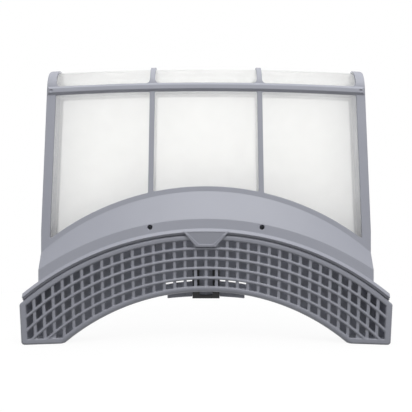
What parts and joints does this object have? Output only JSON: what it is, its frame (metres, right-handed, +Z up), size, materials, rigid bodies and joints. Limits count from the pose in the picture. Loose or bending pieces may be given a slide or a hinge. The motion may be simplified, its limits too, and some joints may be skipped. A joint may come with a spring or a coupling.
{
  "type": "tumble dryer lint filter",
  "caption": "Arched lint filter for a tumble dryer: a mesh-windowed pocket with a rounded end, a sloped apron and a curved inlet grille, and a rear leaf that hinges open.",
  "frame": {"origin": "on the floor under the middle of the part, at the level of its two feet", "axes": "+X across the arch, +Y from the grille side to the hinged leaf, +Z up toward the rounded end"},
  "size_m": [0.331, 0.046, 0.2524],
  "materials": {
    "shell_plastic": "fine matt",
    "grille_plastic": "fine matt",
    "filter_mesh": "fine woven mesh",
    "latch_plastic": "satin"
  },
  "bodies": {
    "filter_shell": {"front_shell": "shell_plastic", "front_mesh": "filter_mesh", "inlet_grille": "grille_plastic"},
    "filter_leaf": {"rear_leaf": "shell_plastic", "rear_mesh": "filter_mesh", "latch_clip": "latch_plastic"}
  },
  "joints": [
    {"name": "leaf_hinge", "type": "hinge", "parent": "filter_shell", "child": "filter_leaf", "pos_m": [0, 0.0205, 0.23343], "axis": [1, 0, 0], "range_deg": [0, 95]}
  ]
}
